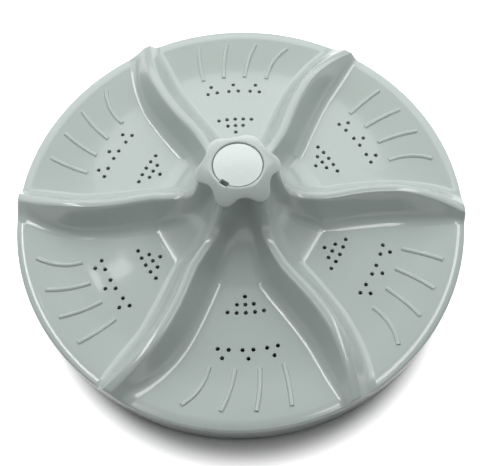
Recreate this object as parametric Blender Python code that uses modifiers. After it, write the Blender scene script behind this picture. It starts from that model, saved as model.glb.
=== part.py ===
# Washing machine pulsator, moulded in one piece round a splined metal bush,
# with a snap-in cap over the fixing screw. Metres, +Z up along the shaft.
# The origin is at the centre of the ring that the rim stands on.
# A bearing is in degrees clockwise from a vane's own radius, seen from above.

import math
from collections import namedtuple

import bmesh
import bpy
from mathutils import Matrix, Vector

MM = 0.001

# Disc and rim
SECTORS = 6
RIM_RADIUS = 162.5 * MM
SKIRT_DEPTH = 18.0 * MM
WALL = 2.6 * MM
DISH_START = 122.5 * MM
DISH_RISE = 4.3 * MM
LIP_WIDTH = 9.5 * MM
LIP_RISE = 1.1 * MM
LIP_CREST = 4.0 * MM
EDGE_ROUND = 1.9 * MM

# Vanes: five bearings, evenly spread from the panel's inner edge to the rim
VANE_HEIGHT = 22.5 * MM
VANE_END_HEIGHT = 10.7 * MM
VANE_FALL_START = 0.50
CREST_WIDTH = 5.4 * MM
CREST_BEARINGS = (3.9, 1.0, 0.8, 2.6, 5.4)
LEADING_FOOT = (14.4, 13.6, 10.2, 5.8, 0.7)
TRAILING_FOOT = (21.2, 12.9, 9.75, 9.4, 8.8)
CREST_ROUND = 0.16
FOOT_FILLET = 0.60

# Column and its six ridges, from the star shoulder down to the panels
COLUMN_HEIGHT = 66.0 * MM
PANEL_INNER = 60.9 * MM
SHOULDER_TOP_RADIUS = 18.4 * MM
STAR_TIP = 29.2 * MM
STAR_VALLEY = 20.5 * MM
STAR_TIP_DROP = 7.9 * MM
STAR_VALLEY_DROP = 7.0 * MM
STAR_SHARPNESS = 1.5
STAR_EDGE = 3.9 * MM
RIDGE_TOP = 28.1 * MM
RIDGE_WAIST = 31.0 * MM
RIDGE_WAIST_HEIGHT = 33.8 * MM
RIDGE_ROOT = 33.2 * MM
RIDGE_END = 48.5 * MM
FLUTE_TOP = 19.8 * MM
FLUTE_WAIST = 23.6 * MM
FLUTE_WAIST_HEIGHT = 22.5 * MM
FLUTE_ROOT = 27.1 * MM
RIDGE_BEARINGS = (-6.0, -2.0, 2.0)
FLUTE_LEADING = (28.0, 26.0, 21.0)
FLUTE_TRAILING = (16.0, 22.0, 25.0)

# Hub bore, cap seat and boss
CAP_WELL_RADIUS = 17.1 * MM
CAP_SEAT_DEPTH = 2.4 * MM
SCREW_WELL_RADIUS = 13.5 * MM
SCREW_FLOOR_HEIGHT = 14.0 * MM
SCREW_FLOOR = 4.0 * MM
SCREW_HOLE_RADIUS = 3.4 * MM
CORE_RADIUS = 16.2 * MM
BOSS_RADIUS = 15.6 * MM
BOSS_RECESS = 2.0 * MM
SEAT_GAP = 0.3 * MM

# Drive bush
BUSH_FLATS = 20.0 * MM
SPLINE_TEETH = 11
SPLINE_ROOT_RADIUS = 5.6 * MM
SPLINE_TIP_RADIUS = 4.6 * MM
SPLINE_ROOT_SPAN = (0.02, 0.46)
SPLINE_TIP_SPAN = (0.60, 0.88)

# Cap
CAP_CLEARANCE = 0.3 * MM
CAP_THICKNESS = 2.4 * MM
CAP_CROWN = 0.6 * MM
CAP_CROWN_STEPS = ((0.0, 1.0), (0.4, 0.84), (0.75, 0.44))
CAP_EDGE = 0.5 * MM
CAP_PLUG_LENGTH = 6.0 * MM
CAP_PLUG_WALL = 1.6 * MM
NOTCH_BEARING = 125.4
NOTCH_WIDTH = 6.0 * MM
NOTCH_DEPTH = 1.4 * MM

# Water holes in each panel: radius, then bearings from the panel's middle
HOLE_RADIUS = 1.4 * MM
HOLE_SIDES = 6
HOLE_ROWS = (
    (68.1 * MM, (0.0,)),
    (74.1 * MM, (-4.55, 0.0, 4.55)),
    (80.1 * MM, (-9.1, -4.55, 0.0, 4.55, 9.1)),
    (106.7 * MM, (-11.02, -7.02, -2.0, 2.0, 7.02, 11.02)),
    (112.8 * MM, (-9.02, 0.0, 9.02)),
)

# Bead ribs on each panel: bearing at the inner end, at the outer end, and bow
BEAD_RADIUS = 1.2 * MM
BEAD_START = 120.0 * MM
BEAD_END = 149.5 * MM
BEAD_POINTS = 5
BEADS = (
    (-11.3, -10.2, -0.7 * MM),
    (-3.45, -1.25, -1.0 * MM),
    (4.5, 7.6, -1.3 * MM),
    (12.8, 17.6, -3.3 * MM),
)

# Underside ribs
RIB_THICKNESS = 2.2 * MM
RING_RIB_RADIUS = 63.0 * MM
RING_RIB_DEPTH = 12.0 * MM
BLADE_BEARING = 14.0
BLADE_DEPTH = 14.5 * MM
WEB_DEPTH = 13.0 * MM
RIB_BITE = 1.0 * MM

# How far each kind of rib runs up into the wall, as a share of the wall
RING_RIB_REACH = 0.65
BLADE_REACH = 0.35
WEB_REACH = 0.5

# How finely the surface is divided
FLANK_STEPS = (1.0, 0.8, 0.6, 0.16, 0.0)
FLANK_STEPS_INSIDE = (1.0, 0.6, 0.0)
FLUTE_POINTS = 3
RIM_POINTS = 8
COLUMN_STEPS = (0.0, 0.2, 0.4, 0.57, 0.73, 0.88, 1.0)
COLUMN_STEPS_INSIDE = (1.0, 0.8, 0.58, 0.36, 0.14)
FLAT_STEPS = (0.08, 0.34, 0.62, 0.86)
FLAT_STEPS_INSIDE = (0.82, 0.45, 0.12)
DISH_STEPS = (0.0, 0.5, 1.0)
EDGE_STEPS = ((1.0, 0.0), (0.3, 0.3), (0.0, 1.0))
ROUND_STEPS = 40
CUT_BEYOND = 2.0 * MM
SHOULDER_STEPS = ((0.0, 0.0), (0.55, 0.3), (0.9, 0.72), (1.0, 1.0))

# Derived heights and radii
PANEL_Z = SKIRT_DEPTH
TOP_Z = PANEL_Z + COLUMN_HEIGHT
PANEL_OUTER = RIM_RADIUS - LIP_WIDTH
BOSS_BOTTOM_Z = BOSS_RECESS
SCREW_FLOOR_Z = PANEL_Z + SCREW_FLOOR_HEIGHT
POCKET_TOP_Z = SCREW_FLOOR_Z - SCREW_FLOOR
CAP_SEAT_Z = TOP_Z - CAP_SEAT_DEPTH
SECTOR_ANGLE = 360.0 / SECTORS


def clear_scene():
    for item in list(bpy.data.objects):
        bpy.data.objects.remove(item, do_unlink=True)


def new_collection(name):
    collection = bpy.data.collections.new(name)
    bpy.context.scene.collection.children.link(collection)
    return collection


def finish(name, colour, roughness, metallic=0.0):
    material = bpy.data.materials.new(name)
    material.use_nodes = True
    shader = material.node_tree.nodes["Principled BSDF"]
    shader.inputs["Base Color"].default_value = (*colour, 1.0)
    shader.inputs["Roughness"].default_value = roughness
    shader.inputs["Metallic"].default_value = metallic
    return material


def mesh_object(name, shape, collection, material=None):
    mesh = bpy.data.meshes.new(name)
    shape.to_mesh(mesh)
    shape.free()
    item = bpy.data.objects.new(name, mesh)
    collection.objects.link(item)
    if material:
        mesh.materials.append(material)
    return item


def hide_as_cutter(item):
    item.display_type = "WIRE"
    item.hide_render = True


def boolean(item, other, operation):
    modifier = item.modifiers.new(other.name, "BOOLEAN")
    modifier.operation = operation
    modifier.solver = "EXACT"
    modifier.object = other
    hide_as_cutter(other)


def polar(radius, bearing, height):
    # A bearing runs clockwise, so the angle in the plane is its negative.
    angle = math.radians(-bearing)
    return Vector((radius * math.cos(angle), radius * math.sin(angle), height))


def blend(first, second, share):
    return first + (second - first) * share


def through(values, share):
    # Smooth curve through evenly spread values.
    place = min(max(share, 0.0), 1.0) * (len(values) - 1)
    index = min(int(place), len(values) - 2)
    t = place - index
    start, end = values[index], values[index + 1]
    before = values[index - 1] if index > 0 else 2 * start - end
    after = values[index + 2] if index + 2 < len(values) else 2 * end - start
    slope_in = (end - before) / 2
    slope_out = (after - start) / 2
    return (
        start * (2 * t**3 - 3 * t**2 + 1)
        + slope_in * (t**3 - 2 * t**2 + t)
        + end * (3 * t**2 - 2 * t**3)
        + slope_out * (t**3 - t**2)
    )


def bezier(points, t):
    points = [Vector(point) for point in points]
    while len(points) > 1:
        points = [a.lerp(b, t) for a, b in zip(points, points[1:])]
    return points[0]


def offset_bezier(points, t, distance):
    # Point on the curve, moved to its inner side by the distance.
    step = 0.001
    along = bezier(points, min(t + step, 1.0)) - bezier(points, max(t - step, 0.0))
    along.normalize()
    return bezier(points, t) + Vector((along.y, -along.x)) * distance


def flank_height(step):
    # Share of the vane's height: rounded crest, straight flank, foot fillet.
    slope = 2.0 / (1.0 + FOOT_FILLET - CREST_ROUND)
    if step < CREST_ROUND:
        return 1.0 - slope * step**2 / (2 * CREST_ROUND)
    if step < FOOT_FILLET:
        return 1.0 - slope * (step - CREST_ROUND / 2)
    return slope * (1.0 - step) ** 2 / (2 * (1.0 - FOOT_FILLET))


def star_share(bearing_from_tip):
    wave = 0.5 + 0.5 * math.cos(math.radians(SECTORS * bearing_from_tip))
    return wave**STAR_SHARPNESS


# One closed loop of points round the part: so many over each vane, then so
# many between that vane and the next.
Loop = namedtuple("Loop", "points flank flute")


def flank_places(crest, leading, trailing, half_crest, inside):
    # Bearing and share of the vane's height, from foot to foot over one vane.
    steps = FLANK_STEPS_INSIDE if inside else FLANK_STEPS
    places = [(blend(crest - half_crest, leading, step), flank_height(step)) for step in steps]
    if not inside:
        places.append((crest, 1.0))
    for step in reversed(steps):
        places.append((blend(crest + half_crest, trailing, step), flank_height(step)))
    return places


def ring(ridge, flute, crest, leading, trailing, inset=0.0, vane_form=1.0, straight=0.0,
         flute_points=FLUTE_POINTS):
    # ridge and flute are (radius, height) on a vane's crest and between vanes.
    # inset narrows the vane, for the inside of the wall.
    narrowing = inset * math.tan(math.radians(30))
    half_crest = math.degrees((CREST_WIDTH / 2 - narrowing) / ridge[0])
    foot_shift = math.degrees(narrowing / flute[0])
    lead_foot = -leading + foot_shift
    trail_foot = trailing - foot_shift
    places = flank_places(crest, lead_foot, trail_foot, half_crest, inset > 0.0)
    flank = len(places)
    gap = SECTOR_ANGLE + lead_foot - trail_foot
    for index in range(flute_points):
        places.append((trail_foot + gap * (index + 1) / (flute_points + 1), 0.0))
    middle = trail_foot + gap / 2
    points = []
    for sector in range(SECTORS):
        for bearing, form in places:
            share = blend(star_share(bearing - crest), form, vane_form)
            from_middle = bearing - middle
            if bearing < crest:
                from_middle += SECTOR_ANGLE
            inner = flute[0]
            if abs(from_middle) <= gap / 2 + 0.001:
                chord = math.cos(math.radians(gap / 2)) / math.cos(math.radians(from_middle))
                inner *= blend(1.0, chord, straight)
            radius = blend(inner, ridge[0], share)
            height = blend(flute[1], ridge[1], share)
            points.append(polar(radius, bearing + sector * SECTOR_ANGLE, height))
    return Loop(points, flank, flute_points)


def column_ring(t, inset=0.0):
    under_star = TOP_Z - STAR_TIP_DROP - STAR_EDGE
    crest_z = PANEL_Z + VANE_HEIGHT
    ridge_curve = (
        (RIDGE_TOP, under_star),
        (RIDGE_WAIST, PANEL_Z + RIDGE_WAIST_HEIGHT),
        (RIDGE_ROOT, crest_z),
        (RIDGE_END, crest_z),
    )
    flute_curve = (
        (FLUTE_TOP, under_star),
        (FLUTE_WAIST, PANEL_Z + FLUTE_WAIST_HEIGHT),
        (FLUTE_ROOT, PANEL_Z),
        (PANEL_INNER, PANEL_Z),
    )
    return ring(
        offset_bezier(ridge_curve, t, inset),
        offset_bezier(flute_curve, t, inset),
        through((*RIDGE_BEARINGS, CREST_BEARINGS[0]), t),
        through((*FLUTE_LEADING, LEADING_FOOT[0]), t),
        through((*FLUTE_TRAILING, TRAILING_FOOT[0]), t),
        inset=inset,
        vane_form=min(1.0, 2.0 * t),
        straight=t,
    )


def vane_height(share):
    fall = max(0.0, (share - VANE_FALL_START) / (1.0 - VANE_FALL_START))
    return blend(VANE_HEIGHT, VANE_END_HEIGHT, fall**1.5)


def dish_rise(radius):
    # The panels are flat, then rise as a shallow cone to the lip.
    share = (radius - DISH_START) / (PANEL_OUTER - DISH_START)
    return DISH_RISE * min(max(share, 0.0), 1.0)


def disc_ring(radius, rise=0.0, inset=0.0, flute_points=RIM_POINTS):
    share = (radius - PANEL_INNER) / (RIM_RADIUS - PANEL_INNER)
    base = PANEL_Z + rise - inset
    return ring(
        (radius, base + vane_height(share)),
        (radius, base + dish_rise(radius)),
        through(CREST_BEARINGS, share),
        through(LEADING_FOOT, share),
        through(TRAILING_FOOT, share),
        inset=inset,
        flute_points=flute_points,
    )


def level_ring(radius, height, like):
    # The same bearings as another loop, on one circle at one height.
    points = []
    for point in like.points:
        flat = Vector((point.x, point.y, 0.0)).normalized() * radius
        points.append(Vector((flat.x, flat.y, height)))
    return Loop(points, like.flank, like.flute)


def shoulder_rings():
    # From the flat land round the cap out to the star's edge.
    rings = []
    for out, down in SHOULDER_STEPS:
        rings.append(ring(
            (blend(SHOULDER_TOP_RADIUS, STAR_TIP, out), TOP_Z - STAR_TIP_DROP * down),
            (blend(SHOULDER_TOP_RADIUS, STAR_VALLEY, out), TOP_Z - STAR_VALLEY_DROP * down),
            RIDGE_BEARINGS[0],
            FLUTE_LEADING[0],
            FLUTE_TRAILING[0],
            vane_form=0.0,
        ))
    return rings


def outer_skin():
    # Loops from the top of the column out to the foot of the skirt.
    rings = shoulder_rings()
    rings += [column_ring(t) for t in COLUMN_STEPS]
    for share in FLAT_STEPS:
        rings.append(disc_ring(blend(PANEL_INNER, DISH_START, share), flute_points=0))
    rings += [disc_ring(blend(DISH_START, PANEL_OUTER, share)) for share in DISH_STEPS]
    rings.append(disc_ring(RIM_RADIUS - LIP_CREST, LIP_RISE))
    for inwards, down in EDGE_STEPS:
        rings.append(disc_ring(RIM_RADIUS - EDGE_ROUND * inwards, LIP_RISE - EDGE_ROUND * down))
    rings.append(level_ring(RIM_RADIUS, 0.0, rings[-1]))
    return rings


def inner_skin():
    # Loops from the foot of the skirt in to the foot of the boss.
    wall = disc_ring(RIM_RADIUS - WALL, 0.0, WALL)
    rings = [level_ring(RIM_RADIUS - WALL, 0.0, wall), wall]
    rings += [disc_ring(radius, 0.0, WALL) for radius in (PANEL_OUTER, DISH_START)]
    for share in FLAT_STEPS_INSIDE:
        rings.append(disc_ring(blend(PANEL_INNER, DISH_START, share), 0.0, WALL, flute_points=0))
    rings += [column_ring(t, WALL) for t in COLUMN_STEPS_INSIDE]
    ceiling = min(point.z for point in rings[-1].points)
    rings.append(level_ring(CORE_RADIUS, ceiling, rings[-1]))
    rings.append(level_ring(BOSS_RADIUS, BOSS_BOTTOM_Z, rings[-1]))
    return rings


def add_skin(shape, rings):
    # Quads between neighbouring loops, with one flat face in each sector where
    # loops have no points between the vanes: that is a panel.
    rows = [[shape.verts.new(point) for point in loop.points] for loop in rings]
    for index in range(len(rings) - 1):
        loop, following = rings[index], rings[index + 1]
        both_have_flute = loop.flute > 0 and following.flute > 0
        for sector in range(SECTORS):
            start = sector * (loop.flank + loop.flute)
            next_start = sector * (following.flank + following.flute)
            columns = loop.flank + loop.flute if both_have_flute else loop.flank - 1
            for column in range(columns):
                here = rows[index][start + column]
                there = rows[index + 1][next_start + column]
                here_after = rows[index][(start + column + 1) % len(rows[index])]
                there_after = rows[index + 1][(next_start + column + 1) % len(rows[index + 1])]
                shape.faces.new((here, here_after, there_after, there))
    bare = [index for index, loop in enumerate(rings) if loop.flute == 0]
    first, last = bare[0] - 1, bare[-1] + 1
    for sector in range(SECTORS):
        edge = panel_side(rows[first], rings[first], sector)
        sides = [panel_side(rows[index], rings[index], sector) for index in bare]
        edge += [side[-1] for side in sides]
        edge += reversed(panel_side(rows[last], rings[last], sector))
        edge += [side[0] for side in reversed(sides)]
        shape.faces.new(edge)
    return rows


def panel_side(row, loop, sector):
    # From one vane's trailing foot to the next vane's leading foot.
    start = sector * (loop.flank + loop.flute) + loop.flank - 1
    return [row[(start + step) % len(row)] for step in range(loop.flute + 2)]


def loop_edges(shape, row):
    edges = []
    for first, second in zip(row, row[1:] + row[:1]):
        edges.append(shape.edges.get((first, second)))
    return edges


def body_shell(collection, material):
    shape = bmesh.new()
    outside = add_skin(shape, outer_skin())
    inside = add_skin(shape, inner_skin())
    foot = loop_edges(shape, outside[-1]) + loop_edges(shape, inside[0])
    bmesh.ops.bridge_loops(shape, edges=foot)
    shape.faces.new(outside[0])
    shape.faces.new(inside[-1])
    bmesh.ops.recalc_face_normals(shape, faces=shape.faces)
    return mesh_object("pulsator_body", shape, collection, material)


def turned(name, profile, collection, closed=False):
    # A profile of (radius, height) points, down its outer side, turned round Z.
    mesh = bpy.data.meshes.new(name)
    edges = [(index, index + 1) for index in range(len(profile) - 1)]
    if closed:
        edges.append((len(profile) - 1, 0))
    mesh.from_pydata([(radius, 0.0, height) for radius, height in profile], edges, [])
    item = bpy.data.objects.new(name, mesh)
    collection.objects.link(item)
    screw = item.modifiers.new("turn", "SCREW")
    screw.axis = "Z"
    screw.steps = ROUND_STEPS
    screw.render_steps = ROUND_STEPS
    screw.use_merge_vertices = True
    screw.merge_threshold = 0.00001
    return item


def flat_outline(name, outlines, thickness, collection):
    # Closed outlines of (x, y) points, one inside another cutting a hole.
    curve = bpy.data.curves.new(name, "CURVE")
    curve.dimensions = "2D"
    curve.fill_mode = "BOTH"
    curve.extrude = thickness / 2
    for outline in outlines:
        spline = curve.splines.new("POLY")
        spline.points.add(len(outline) - 1)
        for point, (x, y) in zip(spline.points, outline):
            point.co = (x, y, 0.0, 1.0)
        spline.use_cyclic_u = True
    item = bpy.data.objects.new(name, curve)
    collection.objects.link(item)
    return item


def curve_to_mesh(item, placements, collection):
    # One mesh with a copy of the curve's solid at each placement.
    bpy.context.view_layer.update()
    evaluated = item.evaluated_get(bpy.context.evaluated_depsgraph_get())
    solid = bpy.data.meshes.new_from_object(evaluated)
    shape = bmesh.new()
    for placement in placements:
        part = bmesh.new()
        part.from_mesh(solid)
        bmesh.ops.remove_doubles(part, verts=part.verts, dist=0.000002)
        bmesh.ops.recalc_face_normals(part, faces=part.faces)
        part.transform(placement @ item.matrix_world)
        copy = bpy.data.meshes.new(item.name)
        part.to_mesh(copy)
        part.free()
        shape.from_mesh(copy)
        bpy.data.meshes.remove(copy)
    name = item.name
    bpy.data.objects.remove(item, do_unlink=True)
    return mesh_object(name, shape, collection)


def sector_turn(bearing):
    return Matrix.Rotation(math.radians(-bearing), 4, "Z")


def panel_middles():
    return [SECTOR_ANGLE * (index + 0.5) for index in range(SECTORS)]


def hole_cutters(collection):
    shape = bmesh.new()
    for middle in panel_middles():
        for radius, bearings in HOLE_ROWS:
            for bearing in bearings:
                centre = polar(radius, middle + bearing, PANEL_Z - WALL / 2)
                bmesh.ops.create_cone(
                    shape, cap_ends=True, segments=HOLE_SIDES, depth=2 * WALL,
                    radius1=HOLE_RADIUS, radius2=HOLE_RADIUS,
                    matrix=Matrix.Translation(centre),
                )
    return mesh_object("water_hole_cutters", shape, collection)


def bead_ribs(collection):
    # Low half-round ribs along each panel, up on to its cone.
    beads = []
    for start, end, bow in BEADS:
        curve = bpy.data.curves.new("bead", "CURVE")
        curve.dimensions = "3D"
        curve.bevel_depth = BEAD_RADIUS
        curve.bevel_resolution = 1
        curve.use_fill_caps = True
        spline = curve.splines.new("POLY")
        spline.points.add(BEAD_POINTS - 1)
        first = polar(BEAD_START, start, PANEL_Z)
        last = polar(BEAD_END, end, PANEL_Z)
        side = (last - first).cross(Vector((0.0, 0.0, 1.0))).normalized()
        for index, point in enumerate(spline.points):
            share = index / (BEAD_POINTS - 1)
            place = first.lerp(last, share) + side * bow * 4 * share * (1 - share)
            place.z += dish_rise(place.xy.length)
            point.co = (*place, 1.0)
        item = bpy.data.objects.new("bead", curve)
        collection.objects.link(item)
        beads.append(curve_to_mesh(item, [sector_turn(m) for m in panel_middles()], collection))
    shape = bmesh.new()
    for bead in beads:
        shape.from_mesh(bead.data)
        bpy.data.objects.remove(bead, do_unlink=True)
    return mesh_object("bead_ribs", shape, collection)


def rib_top(reach):
    return PANEL_Z - WALL * (1.0 - reach)


def underside_ring(collection):
    inner = RING_RIB_RADIUS - RIB_THICKNESS / 2
    outer = RING_RIB_RADIUS + RIB_THICKNESS / 2
    top = rib_top(RING_RIB_REACH)
    bottom = PANEL_Z - RING_RIB_DEPTH
    profile = [(outer, top), (outer, bottom), (inner, bottom), (inner, top)]
    return turned("underside_ring_rib", profile, collection, closed=True)


def upright_plates(name, outline, bearings, collection):
    # The outline, of (radius, height) points, as a plate at each bearing.
    item = flat_outline(name, [outline], RIB_THICKNESS, collection)
    item.matrix_world = Matrix.Rotation(math.radians(90), 4, "X")
    return curve_to_mesh(item, [sector_turn(bearing) for bearing in bearings], collection)


def underside_blades(collection):
    # Straight radial blades from the ring rib to the skirt.
    start = RING_RIB_RADIUS - RIB_THICKNESS / 4
    end = RIM_RADIUS - WALL + RIB_BITE
    top = rib_top(BLADE_REACH)
    bottom = PANEL_Z - BLADE_DEPTH
    outline = [(start, bottom), (end, bottom), (end, top + DISH_RISE)]
    outline += [(radius, top + dish_rise(radius)) for radius in (PANEL_OUTER, DISH_START)]
    outline += [(start, top)]
    bearings = [m + side * BLADE_BEARING for m in panel_middles() for side in (-1, 1)]
    return upright_plates("underside_blades", outline, bearings, collection)


def hub_webs(collection):
    # Upright webs from the boss to the ring rib, under the six valleys.
    under = []
    for t in COLUMN_STEPS_INSIDE[:-1]:
        loop = column_ring(t, WALL / 2)
        middle = loop.points[loop.flank + loop.flute // 2]
        under.append((math.hypot(middle.x, middle.y), middle.z))
    bearing = SECTOR_ANGLE / 2 + (TRAILING_FOOT[0] - LEADING_FOOT[0]) / 2
    bottom = PANEL_Z - WEB_DEPTH
    outline = [(RING_RIB_RADIUS, rib_top(WEB_REACH))]
    outline += under
    outline += [(CORE_RADIUS - RIB_BITE, under[-1][1])]
    outline += [(CORE_RADIUS - RIB_BITE, bottom), (RING_RIB_RADIUS, bottom)]
    bearings = [bearing + index * SECTOR_ANGLE for index in range(SECTORS)]
    return upright_plates("hub_webs", outline, bearings, collection)


def hub_bore(collection):
    # Cap seat, screwdriver well and screw hole, turned in one.
    profile = [
        (0.0, TOP_Z + CUT_BEYOND),
        (CAP_WELL_RADIUS, TOP_Z + CUT_BEYOND),
        (CAP_WELL_RADIUS, CAP_SEAT_Z),
        (SCREW_WELL_RADIUS, CAP_SEAT_Z),
        (SCREW_WELL_RADIUS, SCREW_FLOOR_Z),
        (SCREW_HOLE_RADIUS, SCREW_FLOOR_Z),
        (SCREW_HOLE_RADIUS, POCKET_TOP_Z - CUT_BEYOND),
        (0.0, POCKET_TOP_Z - CUT_BEYOND),
    ]
    return turned("hub_bore_cutter", profile, collection)


def hexagon(flats):
    radius = flats / 2 / math.cos(math.radians(30))
    corners = [math.radians(60 * index) for index in range(6)]
    return [(radius * math.cos(angle), radius * math.sin(angle)) for angle in corners]


def bush_pocket(collection):
    bottom = BOSS_BOTTOM_Z - CUT_BEYOND
    height = POCKET_TOP_Z - bottom
    outline = hexagon(BUSH_FLATS + 2 * SEAT_GAP)
    item = flat_outline("bush_pocket_cutter", [outline], height, collection)
    item.matrix_world = Matrix.Translation((0.0, 0.0, bottom + height / 2))
    return curve_to_mesh(item, [Matrix.Identity(4)], collection)


def splined_bore():
    # Straight-sided teeth pointing in, one to each step round.
    corners = [(share, SPLINE_ROOT_RADIUS) for share in SPLINE_ROOT_SPAN]
    corners += [(share, SPLINE_TIP_RADIUS) for share in SPLINE_TIP_SPAN]
    points = []
    for tooth in range(SPLINE_TEETH):
        for share, radius in corners:
            angle = math.radians((tooth + share) * 360.0 / SPLINE_TEETH)
            points.append((radius * math.cos(angle), radius * math.sin(angle)))
    return points


def drive_bush(collection, material):
    bottom = BOSS_BOTTOM_Z
    height = POCKET_TOP_Z - SEAT_GAP - bottom
    outlines = [hexagon(BUSH_FLATS), splined_bore()]
    item = flat_outline("drive_bush", outlines, height, collection)
    item.matrix_world = Matrix.Translation((0.0, 0.0, bottom + height / 2))
    bush = curve_to_mesh(item, [Matrix.Identity(4)], collection)
    bush.data.materials.append(material)
    return bush


def centre_cap(collection, cutters, material):
    # A crowned disc on the seat, with a plug down into the screwdriver well.
    radius = CAP_WELL_RADIUS - CAP_CLEARANCE
    plug = SCREW_WELL_RADIUS - CAP_CLEARANCE
    under = CAP_SEAT_Z + SEAT_GAP
    rim_top = under + CAP_THICKNESS - CAP_CROWN
    profile = [(radius * out, rim_top + CAP_CROWN * up) for out, up in CAP_CROWN_STEPS]
    profile += [
        (radius - CAP_EDGE, rim_top),
        (radius, rim_top - CAP_EDGE),
        (radius, under),
        (plug, under),
        (plug, under - CAP_PLUG_LENGTH),
        (plug - CAP_PLUG_WALL, under - CAP_PLUG_LENGTH),
        (plug - CAP_PLUG_WALL, under),
        (0.0, under),
    ]
    cap = turned("centre_cap", profile, collection)
    cap.data.materials.append(material)
    notch = bmesh.new()
    size = Matrix.Diagonal((2 * NOTCH_DEPTH, NOTCH_WIDTH, 2 * CAP_THICKNESS, 1.0))
    place = Matrix.Translation((radius, 0.0, under + CAP_THICKNESS))
    bmesh.ops.create_cube(notch, size=1.0, matrix=sector_turn(NOTCH_BEARING) @ place @ size)
    cutter = mesh_object("pry_notch_cutter", notch, cutters)
    boolean(cap, cutter, "DIFFERENCE")
    return cap


def shade(item, angle):
    item.data.shade_smooth()
    item.data.set_sharp_from_angle(angle=math.radians(angle))


def build():
    clear_scene()
    parts = new_collection("washing_machine_pulsator")
    cutters = new_collection("cutters")
    moulding = finish("pale_grey_green_plastic", (0.58, 0.63, 0.61), 0.22)
    cap_plastic = finish("white_cap_plastic", (0.82, 0.85, 0.84), 0.25)
    brass = finish("brass", (0.72, 0.53, 0.27), 0.35, 1.0)

    body = body_shell(parts, moulding)
    boolean(body, underside_ring(cutters), "UNION")
    boolean(body, underside_blades(cutters), "UNION")
    boolean(body, hub_webs(cutters), "UNION")
    boolean(body, bead_ribs(cutters), "UNION")
    boolean(body, hub_bore(cutters), "DIFFERENCE")
    boolean(body, bush_pocket(cutters), "DIFFERENCE")
    boolean(body, hole_cutters(cutters), "DIFFERENCE")
    shade(body, 35)

    bush = drive_bush(parts, brass)
    shade(bush, 30)
    cap = centre_cap(parts, cutters, cap_plastic)
    shade(cap, 30)

    hub_frame = bpy.data.objects.new("pulsator", None)
    parts.objects.link(hub_frame)
    for item in (body, bush, cap):
        item.parent = hub_frame


build()
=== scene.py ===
import math

import bmesh
import bpy
from mathutils import Matrix, Vector


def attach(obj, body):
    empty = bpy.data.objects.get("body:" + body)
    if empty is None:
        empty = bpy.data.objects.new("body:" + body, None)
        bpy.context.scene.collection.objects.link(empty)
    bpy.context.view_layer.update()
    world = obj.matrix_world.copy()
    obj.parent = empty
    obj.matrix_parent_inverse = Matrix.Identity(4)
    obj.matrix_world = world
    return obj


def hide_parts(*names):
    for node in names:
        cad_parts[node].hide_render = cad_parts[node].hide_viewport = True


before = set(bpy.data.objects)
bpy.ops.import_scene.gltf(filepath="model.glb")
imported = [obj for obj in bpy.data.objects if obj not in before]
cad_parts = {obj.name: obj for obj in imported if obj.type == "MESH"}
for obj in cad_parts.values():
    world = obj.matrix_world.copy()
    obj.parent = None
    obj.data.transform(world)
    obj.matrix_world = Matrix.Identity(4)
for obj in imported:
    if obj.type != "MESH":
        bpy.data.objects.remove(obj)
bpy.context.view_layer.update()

# Washing machine pulsator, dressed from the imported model.
# Lengths of the part are millimetres, and bearings are degrees clockwise from
# a vane's own radius, seen from above. The camera, floor and lamps are metres.
mm = 0.001
weld = 0.001 * mm             # points closer than this become one

disc = {
    "sectors": 6,
    "rimRadius": 162.45,
    "panelHeight": 18.0,      # top of the flat panels above the foot of the skirt
    "wall": 2.6,
    "dishStart": 122.5,       # the panels are flat to here, then rise as a cone
    "dishBlend": 11.0,
    "dishRise": 5.45,
    "lipWidth": 8.3,          # turn, crown and rounded edge together
    "lipTurn": 2.6,           # width over which the cone turns into the crown
    "crownSlopes": (-0.02, -0.24),    # at the crown's inner and outer side
    "edgeRound": 1.9,
    "footRound": 0.5,
    "footBreak": 0.3,         # on the skirt's inside
}

vane = {
    "height": 22.5,
    "endHeight": 10.7,
    "fallStart": 0.50,        # share of the way out where the crest begins to fall
    "fallPower": 1.5,
    "crestWidth": 4.4,
    "crestDrop": 0.013,       # the crest is crowned: its sides lie this share lower
    "crest": (3.4, 0.4, 0.2, 2.3, 5.4),       # bearings from the column out to the rim
    "leadingFoot": (15.2, 12.2, 9.6, 5.8, 0.7),
    "trailingFoot": (21.7, 14.7, 10.8, 9.8, 8.8),
    "edgeRound": 0.12,        # shares of the flank's width
    "edgeLean": 0.13,         # slope where the edge begins, as a share of the flank's
    "filletStart": 0.44,
    "filletEase": 1.7,        # above 1 the fillet turns quickly at first, then lies low
    "footCrease": 0.92,
    "footSlope": 0.29,        # real slope left at the crease
    "flankSlope": 1.6,        # the straight flank's slope over the whole side's mean slope
    "footLimit": 0.4,         # most that the crease's slope may be of the flank's
}

column = {
    "height": 65.3,
    "panelInner": 60.9,
    "landRadius": 18.4,
    "starTip": 29.2,
    "starValley": 23.5,
    "tipDrop": 7.9,
    "valleyDrop": 3.6,
    "starLobe": 14.5,         # half the lobe's width, in degrees
    "starBlunt": 4.0,         # degrees over which a lobe's side turns
    "starDome": 0.26,         # 0 is a plain cone, 1 rolls over all the way
    "starEdge": 3.9,
    # curve points as radius and height above the panels, None at the star's lower edge
    "ridge": ((28.1, None), (31.0, 33.8), (33.2, 22.5), (48.5, 22.5)),
    "flute": ((19.8, None), (23.6, 22.5), (37.0, 6.0), (60.9, 0.0)),
    "ridgeBearings": (-6.0, -2.0, 2.0),
    "fluteLeading": (28.0, 26.0, 21.0),
    "fluteTrailing": (16.0, 22.0, 25.0),
    "creaseFoot": 65.2,       # the valley's floor begins to rise here
    "underStart": 0.14,       # share of the curves where the underside leaves the core
}

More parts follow.
